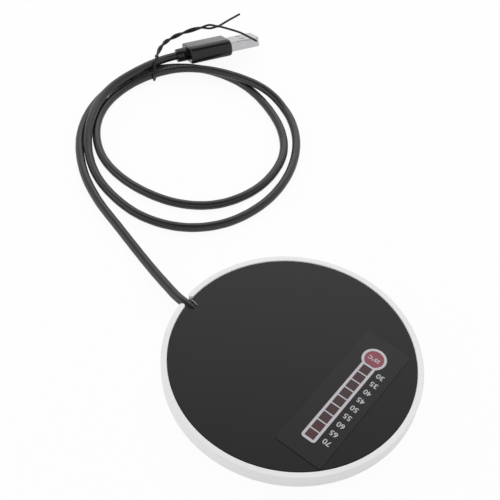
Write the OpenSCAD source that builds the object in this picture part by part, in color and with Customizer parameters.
// Electric mug warmer: a black heating plate in a white tray, with a USB lead.
// Origin: on the table under the middle of the tray. +Z up. Millimetres.

/* [Tray] */
// Outer diameter of the tray
body_d = 89.5; // [86:0.5:110]
// Height of the rim above the table
body_h = 7.2; // [7.2:0.1:10]
// Width of the rim between the plate's gap and the outside
rim_w = 2.1; // [1.8:0.05:4]
// Thickness of the tray's floor
floor_t = 1.2; // [1:0.1:1.6]
// Rounding of the rim's outer top edge
rim_round = 0.3; // [0.2:0.05:0.8]
// Rounding of the wall's lower edge
base_round = 1.5; // [0.3:0.1:1.7]
// Width of the ledge that carries the plate
ledge_w = 2.2; // [1.2:0.1:3]
// Side clearance of the cord in the rim's notch
notch_play = 0.2; // [0.15:0.05:0.5]

/* [Feet] */
// Number of rubber feet
foot_count = 4; // [3:1:6]
// Diameter of a foot
foot_d = 10; // [6:0.5:14]
// Thickness of a foot
foot_t = 0.8; // [0.7:0.05:1.1]
// Depth of the recess that each foot is glued into
foot_recess = 0.3; // [0.1:0.05:0.5]
// Distance of a foot's middle from the tray's outside
foot_inset = 11.75; // [8:0.25:16]

/* [Heating plate] */
// Thickness of the plate
plate_t = 1; // [0.6:0.1:1.2]
// Gap between the plate and the rim
plate_gap = 0.15; // [0.1:0.05:0.3]
// How far the plate's face lies below the rim
plate_recess = 0.3; // [0:0.05:0.4]
// Bevel of the plate's upper edge
plate_bevel = 0.2; // [0.1:0.05:0.4]
// Depth of the slot in the plate's edge over the cord
slot_l = 3.6; // [2.5:0.1:5]
// Turn of the slot from the notch's middle line, to the way the cord comes in
slot_turn = 12; // [0:1:15]
// Sideways place of the slot's mouth from the notch's middle line
slot_shift = 0.35; // [0:0.05:0.5]
// Side clearance of the cord in the slot
slot_play = 0.05; // [0.05:0.05:0.3]
// Thickness of the adhesive under the plate's edge
glue_t = 0.1; // [0.05:0.05:0.3]

/* [Heater] */
// Thickness of the heater film
film_t = 0.3; // [0.1:0.05:0.4]
// Thickness of the etched track
track_t = 0.1; // [0.05:0.01:0.15]
// Width of the track
track_w = 1.6; // [0.8:0.1:2]
// Radius of the innermost ring
track_first = 12; // [10:0.5:14]
// Margin from the film's edge to the middle of the outermost ring
track_margin = 3.65; // [2:0.05:5]
// Number of rings, an odd number
track_rings = 9; // [5:2:9]
// Clearance between the felt pad and the track
pad_play = 0.3; // [0.1:0.1:0.5]

/* [Wiring] */
// Length of the terminal board
board_l = 12; // [10:0.5:13]
// Width of the terminal board
board_w = 10; // [9:0.5:12]
// Thickness of the terminal board
board_t = 0.8; // [0.6:0.1:1]
// Height of the bosses under the board
boss_h = 0.8; // [0.5:0.1:1]
// Diameter of the thermal cutoff
cutoff_d = 2; // [1.6:0.1:2.1]
// Length of the thermal cutoff
cutoff_l = 7.5; // [5:0.5:8]
// Wall of the sleeve on the cutoff
sleeve_t = 0.2; // [0.1:0.05:0.2]
// Diameter of an insulated core
core_d = 1.2; // [0.9:0.1:1.3]
// Diameter of a bare lead
lead_d = 0.5; // [0.4:0.05:0.6]
// Length of the anchor moulded on the cord
anchor_l = 5; // [3:0.5:5.5]
// Width of the anchor
anchor_w = 7; // [5:0.5:8]
// Height of the anchor
anchor_h = 3.7; // [3.5:0.05:3.75]
// Distance of the anchor's outer face from the rim's inside
anchor_setback = 6.65; // [6.15:0.1:7.65]
// Clearance between the anchor and the terminal board
board_clear = 5; // [4:0.5:6]

/* [Thermometer strip] */
// Length of the strip
strip_l = 54; // [50:1:56]
// Width of the strip
strip_w = 17.6; // [15:0.1:18.5]
// Thickness of the strip
strip_t = 0.2; // [0.1:0.05:0.3]
// Rounding of the strip's corners
strip_round = 1; // [0.3:0.1:3]
// Distance of the strip's outer corner from the plate's edge
strip_edge = 0.1; // [0.05:0.05:1]
// Pitch of the nine cells
cell_pitch = 3.92; // [3.8:0.02:4.1]
// Width of the column of cells
column_w = 3.5; // [2.8:0.1:4]
// Diameter of the bulb inside its ring
bulb_d = 6.8; // [6:0.1:8]
// Width of the printed outline round the bulb and the cells
outline_w = 0.95; // [0.6:0.05:1.5]
// Width of the printed rungs between the cells
rung_w = 0.46; // [0.3:0.02:0.8]
// Thickness of the print
print_t = 0.05; // [0.03:0.01:0.1]

/* [Cord and plug] */
// Diameter of the cord
cord_d = 3.6; // [3.2:0.1:3.6]
// Length of the strain relief boot
boot_l = 5.2; // [4:0.1:10]
// Diameter of the boot at the cord
boot_d = 6; // [5:0.1:6.5]
// Diameter of the boot at the grip
boot_root_d = 6.8; // [6.5:0.1:7.2]
// Length of the moulded grip
grip_l = 20.3; // [17:0.1:24]
// Width of the grip
grip_w = 15.8; // [14:0.1:16]
// Thickness of the grip
grip_t = 7.8; // [7:0.1:9]
// Rounding of the grip's long edges
grip_round = 2; // [1:0.1:3]
// Rounding of the grip's corners, seen on its wide face
grip_corner = 1.5; // [0.5:0.1:4]
// Length of the metal shell outside the grip
shell_l = 13.6; // [12:0.1:15]
// Length of the metal shell inside the grip
shell_tail = 5; // [3:0.5:8]
// Width of the metal shell
shell_w = 12; // [11.9:0.05:12.1]
// Thickness of the metal shell
shell_h = 4.5; // [4.4:0.05:4.6]
// Sheet thickness of the metal shell
shell_t = 0.3; // [0.2:0.05:0.4]
// Side of the square windows in the shell
window_w = 2.2; // [1.8:0.1:2.6]
// Distance of the windows from the shell's tip
window_at = 6.1; // [4.5:0.1:7]
// Thickness of the insulator that carries the contacts
tongue_t = 1.9; // [1.5:0.1:2.1]

/* [Twist tie] */
// Diameter of the coated wire
tie_d = 1; // [0.8:0.1:1.2]
// Number of turns of the twist
tie_turns = 2.5; // [1.5:0.5:5]

/* [Hidden] */
$fn = 96;
eps = 0.01;
// How far a cut runs past what it cuts
over = 1;

// Heights, from the table up
tray_z = foot_t - foot_recess;
floor_z = tray_z + floor_t;
plate_z = body_h - plate_recess - plate_t;
face_z = plate_z + plate_t;
film_z = plate_z - film_t;
track_z = film_z - track_t;
ledge_z = plate_z - glue_t;
pad_top = track_z - pad_play;
board_z = floor_z + boss_h;
board_top = board_z + board_t;

// Radii
body_r = body_d / 2;
wall_r = body_r - rim_w;
plate_r = wall_r - plate_gap;
ledge_r = wall_r - ledge_w;
rim_mid_r = (body_r + wall_r) / 2;
film_play = 0.8;
film_r = ledge_r - film_play;
pad_side_play = 0.3;
pad_r = ledge_r - pad_side_play;
glue_margin = 0.2;
foot_at = body_r - foot_inset;

// The notch, where the cord leaves, and everything that lines up with it
notch_turn = 151;
notch_dir = [cos(notch_turn), sin(notch_turn), 0];
notch_w = cord_d + 2 * notch_play;
slot_w = cord_d + 2 * slot_play;
notch_sill = 1.1;
notch_z = floor_z + notch_sill;
anchor_at = wall_r - anchor_setback;
anchor_in = anchor_at - anchor_l;
anchor_play = 0.2;
rib_t = 1.2;
rib_w = 2.6;
rib_h = pad_top - floor_z;
pocket_w = 18;

// Board: its place and its joints
board_in = anchor_in - board_clear - board_l;
boss_d = 2;
boss_inset = 1;
pin_d = 1.2;
pin_play = 0.1;
pin_rise = 0.3;
pins_apart = 4;
joint_r = 0.9;
joint_y = 2.5;
joint_in_x = board_in + 2;
joint_out_x = board_in + board_l - 1.5;
core_y = 0.8;
core_run = 2;
core_spread = 1.1;
pocket_in = board_in - 6;

// Track: its slot, its end traces and its solder pads
track_pitch = (film_r - track_margin - track_first) / (track_rings - 1);
track_slot = 7;
trace_w = 1;
trace_y = 5.7;
pad_size = [3, 2.4];
pad_x = board_in + 4.5;
pad_y = 5.4;
solder_d = 2;
lead_top = track_z - 0.25;
film_cut_w = anchor_w + 2;
film_cut_in = anchor_at - 3;

// Thermal cutoff and the bends of the bare leads: out of the joint on the board, in to the cutoff,
// and round from its far end to the board's outer edge
cutoff_at = [pad_x + 2.5, 6.6];
cutoff_play = 0.1;
cutoff_z = track_z - cutoff_play - cutoff_d / 2 - sleeve_t;
sleeve_inset = 0.5;
lead_foot = 0.3;
bend_at_joint = [0.8, -1, 0.6];
bend_to_cutoff = [-1, -0.4, 0.2];
bends_past_cutoff = [[0.9, -0.5, 0], [0.6, -2.2, 0]];
bend_at_board = [0.6, 1.2, 0.3];
joint_inset = 0.5;

// Strip: its place on the plate, with a corner near the plate's edge, and its cells
strip_turn = -125.5;
strip_shift = 1.35;
strip_out = sqrt(pow(plate_r - strip_edge, 2) - pow(strip_l / 2 + strip_shift, 2)) - strip_w / 2;
cell_first = -12.75;
cell_count = 9;
print_y = -0.55;
bulb_x = -18.25;
neck_w = 0.7;
outline_end = 20.95;
outline_round = 1.1;
print_play = 0.08;

// Plug: the boot's rear face, and how the plug lies
plug_lift = 4.4;
plug_at = [-57, 164.05, plug_lift + cord_d / 2];
plug_turn = 24.2;
plug_pitch = -1.1;
plug_roll = -24.2;
plug_dir = [cos(plug_pitch) * cos(plug_turn), cos(plug_pitch) * sin(plug_turn), -sin(plug_pitch)];
grip_end = boot_l + grip_l;
tip = grip_end + shell_l;
boot_bevel = 0.3;
shell_round = 0.6;
windows_apart = 5.7;
insulator_play = 0.1;
insulator_back = 0.8;
contact_back = 1.6;
contact_y = [-3.5, -1, 1, 3.5];
contact_w = 1;
contact_l = 7.4;
contact_t = 0.2;

// The lead's layout is given for an anchor at lead_home, and moves out along the notch with it
lead_home = 36;
lead_move = (anchor_at - lead_home) * notch_dir;

// Cord: x, y and the lift above lying on the table. The first point is the anchor's face.
cord_sides = 8;
cord_steps = 2;
cord_route = [
    [lead_home * cos(notch_turn), lead_home * sin(notch_turn), 1.8],
    [-35.2, 19.1, 2.45], [-38.85, 21.5, 2.87], [-42, 24.5, 2.45], [-45, 28.1, 1.9], [-54, 39.6, 0.5],
    [-67, 56.6, 0], [-79.6, 73.4, 0],
    [-88.2, 90.3, 0], [-92.6, 109.8, 0], [-90.7, 128.7, 0], [-82.6, 144.3, 0.42],
    [-66.9, 156.7, 1.19], [-48, 161.3, 0.17], [-30.7, 155.6, 0], [-17.5, 143.2, 0],
    [-7.2, 123.3, 0], [-5.8, 104.1, 0], [-14.6, 85.8, 0], [-30.3, 74.6, 0], [-48.5, 73.8, 0],
    [-67.5, 82.8, 0], [-81, 97.4, 0], [-86.6, 116, 0], [-83.6, 134.3, 0], [-72.1, 149, 1.05],
    [-55.1, 157.1, 2.4], [-35.7, 155.3, 3.42], [-16.6, 146.4, 3.41], [-5.2, 135.3, 0],
    [0, 116.3, 0], [-2.4, 95.8, 0], [-11.6, 77.6, 0], [-26.5, 64.7, 0], [-44.1, 60.7, 0],
    [-62.2, 66.2, 0], [-78, 80.7, 0], [-86.8, 97.9, 0.4], [-89.1, 116.6, 2.8], [-85, 135.7, 3.79],
    [-72.7, 151.3, 4.89],
    [plug_at[0], plug_at[1], plug_lift]];

// Twist tie: the loop round the three strands, across them and up, the twisted tail, how far round its
// two wires start, and its free ends
tie_at = [-65.7, 156, 0];
tie_turn = -3;
tie_loop = [[0.6, 8.7], [2.5, 8.95], [4.4, 8.35], [5.4, 7.45], [5.75, 6.55], [5.65, 5.7], [3.45, 1.3],
            [2.4, 0.67], [1.05, 0.58], [-3.65, 0.95], [-4.85, 1.45], [-5.55, 2.3], [-5.8, 3.2],
            [-5.65, 4.1], [-5.05, 4.95]];
tie_tail = [[-65.7, 159.4, 8.9], [-63.9, 166.4, 9.8], [-60.6, 170.7, 10.6], [-54.9, 174.7, 11.6],
            [-46.5, 178.6, 12.6], [-38.8, 179.9, 13]];
tie_phase = 40;
tie_end_1 = [[-38.8, 179.9, 13], [-34.4, 184.8, 13.2], [-29.2, 189.5, 14]];
tie_end_2 = [[-38.8, 179.9, 13], [-33.5, 178, 13.2], [-28.2, 175.8, 13.2], [-23.8, 173, 13],
             [-20, 170.7, 12.6]];
tie_sides = 6;
tie_steps = 8;

// ---------- curves and tubes ----------

function unit(v) = v / norm(v);

function curve_point(a, b, c, d, t) =
    0.5 * (2 * b + (c - a) * t + (2 * a - 5 * b + 4 * c - d) * t * t
           + (3 * b - a - 3 * c + d) * t * t * t);

// A smooth curve through all the points, with the given steps from each to the next.
// It runs into its last point along the direction into, where one is given.
function smooth_path(points, steps, into = undef) =
    let (last = len(points) - 1,
         stride = points[last] - points[last - 1],
         after = is_undef(into) ? points[last] + stride : points[last - 1] + 2 * norm(stride) * into,
         p = concat([2 * points[0] - points[1]], points, [after]))
    concat([for (i = [0:last - 1], k = [0:steps - 1])
                curve_point(p[i], p[i + 1], p[i + 2], p[i + 3], k / steps)],
           [points[last]]);

// The points round one ring of a tube
function ring(centre, along, ref, r, sides) =
    let (side = unit(cross(along, ref)), up = cross(side, along))
    [for (k = [0:sides - 1])
        let (a = 360 * (k + 0.5) / sides) centre + r * (cos(a) * side + sin(a) * up)];

function path_dir(path, i) =
    unit(path[min(i + 1, len(path) - 1)] - path[max(i - 1, 0)]);

function ring_faces(from, to, sides) =
    [for (k = [0:sides - 1])
        let (m = (k + 1) % sides)
        [from * sides + k, from * sides + m, to * sides + m, to * sides + k]];

// A closed tube round a path. Its end faces stand square to from and into, where they are given.
module tube(path, d, sides, from = undef, into = undef) {
    n = len(path);
    points = [for (i = [0:n - 1])
        let (along = i == 0 && !is_undef(from) ? from
                   : i == n - 1 && !is_undef(into) ? into
                   : path_dir(path, i))
        each ring(path[i], along, [0, 0, 1], d / 2, sides)];
    sides_faces = [for (i = [0:n - 2]) each ring_faces(i, i + 1, sides)];
    start_cap = [for (k = [sides - 1:-1:0]) k];
    end_cap = [for (k = [0:sides - 1]) (n - 1) * sides + k];
    polyhedron(points = points, faces = concat([start_cap], sides_faces, [end_cap]));
}

// A tube whose path closes on itself, round the axis ref
module closed_tube(path, d, sides, ref) {
    n = len(path);
    points = [for (i = [0:n - 1])
        each ring(path[i], unit(path[(i + 1) % n] - path[(i + n - 1) % n]), ref, d / 2, sides)];
    polyhedron(points = points, faces = [for (i = [0:n - 1]) each ring_faces(i, (i + 1) % n, sides)]);
}

// ---------- placing ----------

// x out along the notch, y across it
module at_notch() {
    rotate([0, 0, notch_turn]) children();
}

// x along the plug to its tip, y across its wide face
module at_plug() {
    translate(plug_at + lead_move) rotate([plug_roll, plug_pitch, plug_turn]) children();
}

// x along the strip towards the highest cell, y out to the plate's edge
module at_strip() {
    rotate([0, 0, strip_turn]) translate([strip_shift, strip_out, face_z]) children();
}

// On the strip's film, on the middle line of its print
module at_print() {
    at_strip() translate([0, print_y, strip_t]) children();
}

// A block from x1 to x2, as wide as w about the x axis, from z1 to z2
module bar(x1, x2, w, z1, z2, y = 0) {
    translate([x1, y - w / 2, z1]) cube([x2 - x1, w, z2 - z1]);
}

// The corner that a rounding takes off, in the quadrant given by the two signs
module round_off(x, z, r, sx, sz) {
    translate([x, z]) difference() {
        translate([sx > 0 ? -r : -eps, sz > 0 ? -r : -eps]) square(r + eps);
        translate([-sx * r, -sz * r]) circle(r);
    }
}

module rounded_rectangle(w, h, r) {
    square([w - 2 * r, h], center = true);
    square([w, h - 2 * r], center = true);
    for (x = [-1, 1], y = [-1, 1]) translate([x * (w / 2 - r), y * (h / 2 - r)]) circle(r);
}

// A bar along x, with its long edges rounded
module rounded_bar(l, w, t, r) {
    rotate([90, 0, 90]) linear_extrude(l) rounded_rectangle(w, t, r);
}

// ---------- tray ----------

module tray_wall_profile() {
    difference() {
        translate([wall_r, tray_z]) square([body_r - wall_r, body_h - tray_z]);
        round_off(body_r, body_h, rim_round, 1, 1);
        round_off(wall_r, body_h, rim_round / 2, -1, 1);
        round_off(body_r, tray_z, base_round, 1, -1);
    }
}

module tray() {
    mouth = notch_w / 2 + rim_w / 2;
    color([0.93, 0.93, 0.92]) difference() {
        union() {
            difference() {
                union() {
                    rotate_extrude() tray_wall_profile();
                    translate([0, 0, tray_z]) cylinder(r = wall_r + eps, h = floor_t);
                    difference() {
                        translate([0, 0, floor_z - eps])
                            cylinder(r = wall_r + eps, h = ledge_z - floor_z + eps);
                        translate([0, 0, floor_z - 2 * eps]) cylinder(r = ledge_r, h = body_h);
                    }
                }
                at_notch() bar(ledge_r - over, body_r + over, 2 * mouth, notch_z, body_h + over);
            }
            // the rounded ends of the rim, each side of the notch
            at_notch() for (s = [-1, 1])
                translate([rim_mid_r, s * mouth, notch_z - eps])
                    cylinder(d = rim_w, h = body_h - notch_z + eps);
            at_notch() tray_ribs();
            at_notch() board_bosses();
        }
        for (i = [0:foot_count - 1])
            foot_place(i) translate([0, 0, tray_z - eps]) cylinder(d = foot_d, h = foot_recess + eps);
        at_notch() bar(ledge_r - over, wall_r, notch_w, floor_z, body_h);
    }
}

module tray_ribs() {
    outer = anchor_at + anchor_play;
    inner = anchor_in - anchor_play - rib_t;
    core_gap = 3 * core_d;
    for (s = [-1, 1]) {
        bar(outer, outer + rib_t, rib_w, floor_z - eps, floor_z + rib_h, s * (notch_w + rib_w) / 2);
        bar(inner, inner + rib_t, rib_w, floor_z - eps, floor_z + rib_h, s * (core_gap + rib_w) / 2);
    }
}

module board_bosses() {
    for (s = [-1, 1], x = [board_in + boss_inset, board_in + board_l - boss_inset])
        translate([x, s * (board_w / 2 - boss_inset), floor_z - eps])
            cylinder(d = boss_d, h = boss_h + eps);
    // two pins that locate the board
    for (x = board_pins())
        translate([x, 0, floor_z - eps]) cylinder(d = pin_d, h = boss_h + board_t + pin_rise);
}

function board_pins() = [for (s = [-1, 1]) board_in + board_l / 2 + s * pins_apart / 2];

module foot_place(i) {
    rotate([0, 0, notch_turn + (i + 0.5) * 360 / foot_count]) translate([foot_at, 0, 0]) children();
}

module rubber_feet() {
    color([0.2, 0.2, 0.2]) for (i = [0:foot_count - 1]) foot_place(i) cylinder(d = foot_d, h = foot_t);
}

// ---------- heater ----------

module insulation_pad() {
    color([0.85, 0.83, 0.76]) difference() {
        translate([0, 0, floor_z]) cylinder(r = pad_r, h = pad_top - floor_z);
        at_notch() bar(pocket_in, body_r, pocket_w, floor_z - over, pad_top + over);
    }
}

module heater_film() {
    color([0.72, 0.42, 0.1]) difference() {
        translate([0, 0, film_z]) cylinder(r = film_r, h = film_t);
        // room over the cord's anchor
        at_notch() bar(film_cut_in, body_r, film_cut_w, film_z - over, plate_z + over);
    }
}

function track_r(i) = track_first + i * track_pitch;

// Where ring i is cut off at the slot
function track_end(i) = sqrt(pow(track_r(i), 2) - pow(track_slot, 2));

module heater_track() {
    last = track_rings - 1;
    color([0.75, 0.55, 0.35]) at_notch() {
        difference() {
            for (i = [0:last]) translate([0, 0, track_z]) difference() {
                cylinder(r = track_r(i) + track_w / 2, h = track_t);
                translate([0, 0, -over]) cylinder(r = track_r(i) - track_w / 2, h = track_t + 2 * over);
            }
            bar(0, body_r, 2 * track_slot, track_z - over, track_z + track_t + over);
        }
        // links from ring to ring, by turns on one side of the slot and on the other
        for (i = [0:last - 1])
            track_bar(track_end(i) - track_w / 2, track_end(i + 1) + track_w / 2,
                      (i % 2 == 0 ? 1 : -1) * (track_slot + track_w / 2), track_w);
        // from the two free ends along the slot to the solder pads
        track_bar(track_end(0) - track_w / 2, pad_x, -trace_y, trace_w);
        track_bar(pad_x, track_end(last) + track_w / 2, trace_y, trace_w);
        track_riser(track_end(0), -1);
        track_riser(track_end(last), 1);
        for (s = [-1, 1])
            track_bar(pad_x - pad_size[0] / 2, pad_x + pad_size[0] / 2, s * pad_y, pad_size[1]);
    }
}

module track_bar(x1, x2, y, w) {
    bar(x1, x2, w, track_z, track_z + track_t, y);
}

module track_riser(x, side) {
    low = trace_y - trace_w / 2;
    high = track_slot + track_w / 2;
    track_bar(x - track_w / 2, x + track_w / 2, side * (low + high) / 2, high - low);
}

module plate_adhesive() {
    color([0.6, 0.6, 0.62]) difference() {
        translate([0, 0, ledge_z]) cylinder(r = plate_r - glue_margin, h = glue_t);
        translate([0, 0, ledge_z - over]) cylinder(r = ledge_r + glue_margin, h = glue_t + 2 * over);
        at_notch() bar(0, body_r, notch_w + rim_w, ledge_z - over, plate_z + over);
    }
}

module plate_profile() {
    polygon([[0, 0], [plate_r, 0], [plate_r, plate_t - plate_bevel], [plate_r - plate_bevel, plate_t],
             [0, plate_t]]);
}

module top_plate() {
    reach = slot_l - slot_w / 2;
    color([0.16, 0.16, 0.16]) difference() {
        translate([0, 0, plate_z]) rotate_extrude() plate_profile();
        at_notch() translate([plate_r, slot_shift, 0]) rotate([0, 0, -slot_turn]) {
            bar(-reach, body_r - plate_r, slot_w, plate_z - over, face_z + over);
            translate([-reach, 0, plate_z - over]) cylinder(d = slot_w, h = plate_t + 2 * over);
        }
    }
}

// ---------- wiring ----------

module terminal_board() {
    color([0.1, 0.35, 0.2]) at_notch() difference() {
        bar(board_in, board_in + board_l, board_w, board_z, board_top);
        for (x = board_pins())
            translate([x, 0, board_z - over]) cylinder(d = pin_d + 2 * pin_play, h = board_t + 2 * over);
    }
}

// A dome of solder on the board
module solder_dome(x, y) {
    translate([x, y, board_top]) intersection() {
        sphere(joint_r);
        cylinder(r = joint_r + over, h = joint_r + over);
    }
}

module solder_joints() {
    color([0.75, 0.75, 0.77]) at_notch() {
        difference() {
            for (s = [-1, 1], x = [joint_in_x, joint_out_x]) solder_dome(x, s * joint_y);
            core_path_tubes(1);
            core_path_tubes(-1);
            lead_tubes();
        }
        for (s = [-1, 1])
            translate([pad_x, s * pad_y, lead_top]) cylinder(d = solder_d, h = track_z - lead_top);
    }
}

module core_path_tubes(s) {
    z = floor_z + anchor_h / 2;
    low = board_top + core_d / 2;
    path = [[anchor_in, s * core_y, z], [anchor_in - core_run, s * core_y * core_spread, (z + low) / 2],
            [(anchor_in + joint_out_x) / 2, s * (core_y + joint_y) / 2, low],
            [joint_out_x, s * joint_y, low]];
    tube(smooth_path(path, 2), core_d, 8);
}

module red_core() {
    color([0.75, 0.1, 0.1]) at_notch() core_path_tubes(1);
}

module black_core() {
    color([0.1, 0.1, 0.1]) at_notch() core_path_tubes(-1);
}

module lead_tubes() {
    z = lead_top - lead_d / 2;
    low = board_top + lead_foot;
    joint = [joint_in_x, -joint_y, low];
    end_in = [cutoff_at[0], cutoff_at[1], cutoff_z];
    end_out = end_in + [cutoff_l, 0, 0];
    board_edge = [board_in + board_l, joint_y, low];
    // one straight from the board to the track
    tube(smooth_path([joint, joint + bend_at_joint, [pad_x, -pad_y, z]], 3), lead_d, 8);
    // the other from the cutoff, whose far end goes back to the board
    tube(smooth_path([end_in, end_in + bend_to_cutoff, [pad_x, pad_y, z]], 3), lead_d, 8);
    tube(smooth_path([end_out, end_out + bends_past_cutoff[0], end_out + bends_past_cutoff[1],
                      board_edge + bend_at_board, [joint_out_x, joint_y + joint_inset, low]], 3), lead_d, 8);
}

module heater_leads() {
    color([0.8, 0.8, 0.82]) at_notch() lead_tubes();
}

// z along the cutoff, from its inner end
module at_cutoff() {
    at_notch() translate([cutoff_at[0], cutoff_at[1], cutoff_z]) rotate([0, 90, 0]) children();
}

module thermal_cutoff() {
    color([0.7, 0.7, 0.72]) at_cutoff() cylinder(d = cutoff_d, h = cutoff_l);
}

module cutoff_sleeve() {
    l = cutoff_l - 2 * sleeve_inset;
    color([0.9, 0.9, 0.85]) at_cutoff() translate([0, 0, sleeve_inset]) difference() {
        cylinder(d = cutoff_d + 2 * sleeve_t, h = l);
        translate([0, 0, -over]) cylinder(d = cutoff_d, h = l + 2 * over);
    }
}

module cord_anchor() {
    color([0.13, 0.13, 0.13]) at_notch() bar(anchor_in, anchor_at, anchor_w, floor_z, floor_z + anchor_h);
}

// ---------- thermometer strip ----------

module strip_film() {
    color([0.2, 0.19, 0.19]) at_strip() linear_extrude(strip_t)
        rounded_rectangle(strip_l, strip_w, strip_round);
}

// The windows of the cells in the printed outline, one less their play all round for the cells
module cell_windows(play) {
    l = cell_pitch - rung_w - 2 * play;
    w = column_w - 2 * play;
    intersection() {
        for (i = [0:cell_count - 1])
            translate([cell_first + i * cell_pitch, 0]) square([l, w], center = true);
        translate([-strip_l / 2, -w / 2]) square([strip_l / 2 + outline_end - outline_w - play, w]);
    }
}

// The bulb's window, a circle cut off flat at the neck
module bulb_window(play) {
    neck = cell_first - cell_pitch / 2 + rung_w / 2 - neck_w;
    intersection() {
        translate([bulb_x, 0]) circle(d = bulb_d - 2 * play);
        translate([neck - strip_l - play, -strip_w / 2]) square([strip_l, strip_w]);
    }
}

module strip_outline() {
    w = column_w + 2 * outline_w;
    color([0.73, 0.72, 0.73]) at_print() linear_extrude(print_t) difference() {
        union() {
            translate([bulb_x, 0]) circle(d = bulb_d + 2 * outline_w);
            translate([(bulb_x + outline_end) / 2, 0])
                rounded_rectangle(outline_end - bulb_x, w, outline_round);
        }
        cell_windows(0);
        bulb_window(0);
    }
}

module strip_cells() {
    color([0.28, 0.12, 0.14]) at_print() linear_extrude(print_t) cell_windows(print_play);
}

module strip_bulb() {
    color([0.54, 0.33, 0.35]) at_print() linear_extrude(print_t) bulb_window(print_play);
}

// ---------- cord, plug and tie ----------

// The cord's middle line: never lower than lying on the table
function cord_line() =
    [for (p = smooth_path(cord_route, cord_steps, plug_dir)) [p[0], p[1], cord_d / 2 + max(p[2], 0)]];

module cord() {
    color([0.15, 0.15, 0.15]) translate(lead_move)
        tube(cord_line(), cord_d, cord_sides, notch_dir, plug_dir);
}

module plug_boot() {
    color([0.13, 0.13, 0.13]) at_plug() rotate([0, 90, 0]) rotate_extrude()
        polygon([[0, 0], [boot_d / 2 - boot_bevel, 0], [boot_d / 2, boot_bevel], [boot_root_d / 2, boot_l],
                 [0, boot_l]]);
}

// The shell's outside, or its inside, one sheet smaller all round and longer at both ends
module shell_block(sheet, longer) {
    translate([grip_end - shell_tail - longer, 0, 0])
        rounded_bar(shell_tail + shell_l + 2 * longer, shell_w - 2 * sheet, shell_h - 2 * sheet,
                    shell_round - sheet);
}

module plug_grip() {
    color([0.14, 0.14, 0.14]) at_plug() difference() {
        intersection() {
            translate([boot_l, 0, 0]) rounded_bar(grip_l, grip_w, grip_t, grip_round);
            translate([boot_l + grip_l / 2, 0, -grip_t]) linear_extrude(2 * grip_t)
                rounded_rectangle(grip_l, grip_w, grip_corner);
        }
        shell_block(0, 0);
    }
}

module plug_shell() {
    color([0.78, 0.78, 0.8]) at_plug() difference() {
        shell_block(0, 0);
        shell_block(shell_t, over);
        for (s = [-1, 1]) bar(tip - window_at - window_w, tip - window_at, window_w,
                              -shell_h, shell_h, s * windows_apart / 2);
    }
}

module plug_insulator() {
    high = shell_h / 2 - shell_t;
    color([0.92, 0.92, 0.9]) at_plug()
        bar(grip_end - shell_tail, tip - insulator_back, shell_w - 2 * (shell_t + insulator_play),
            high - tongue_t, high);
}

module plug_contacts() {
    high = shell_h / 2 - shell_t - tongue_t;
    x = tip - contact_back;
    color([0.83, 0.68, 0.33]) at_plug()
        for (y = contact_y) bar(x - contact_l, x, contact_w, high - contact_t, high, y);
}

function twist_line(s) =
    let (line = smooth_path(tie_tail, tie_steps), last = len(line) - 1)
    [for (i = [0:last])
        let (dir = path_dir(line, i), side = unit(cross(dir, [0, 0, 1])), up = cross(side, dir),
             a = tie_phase + s * 180 + 360 * tie_turns * i / last)
        line[i] + tie_d / 2 * (cos(a) * side + sin(a) * up)];

module twist_tie() {
    across = [-sin(tie_turn), cos(tie_turn), 0];
    axis = [cos(tie_turn), sin(tie_turn), 0];
    loop = [for (p = tie_loop) tie_at + p[0] * across + [0, 0, p[1]]];
    color([0.1, 0.1, 0.1]) translate(lead_move) {
        closed_tube(loop, tie_d, tie_sides, axis);
        for (s = [0, 1]) tube(twist_line(s), tie_d, tie_sides);
        tube(smooth_path(tie_end_1, tie_steps), tie_d, tie_sides);
        tube(smooth_path(tie_end_2, tie_steps), tie_d, tie_sides);
    }
}

tray();
rubber_feet();
insulation_pad();
terminal_board();
solder_joints();
thermal_cutoff();
cutoff_sleeve();
heater_leads();
heater_track();
heater_film();
plate_adhesive();
top_plate();
strip_film();
strip_outline();
strip_cells();
strip_bulb();
cord_anchor();
red_core();
black_core();
cord();
plug_boot();
plug_grip();
plug_shell();
plug_insulator();
plug_contacts();
twist_tie();
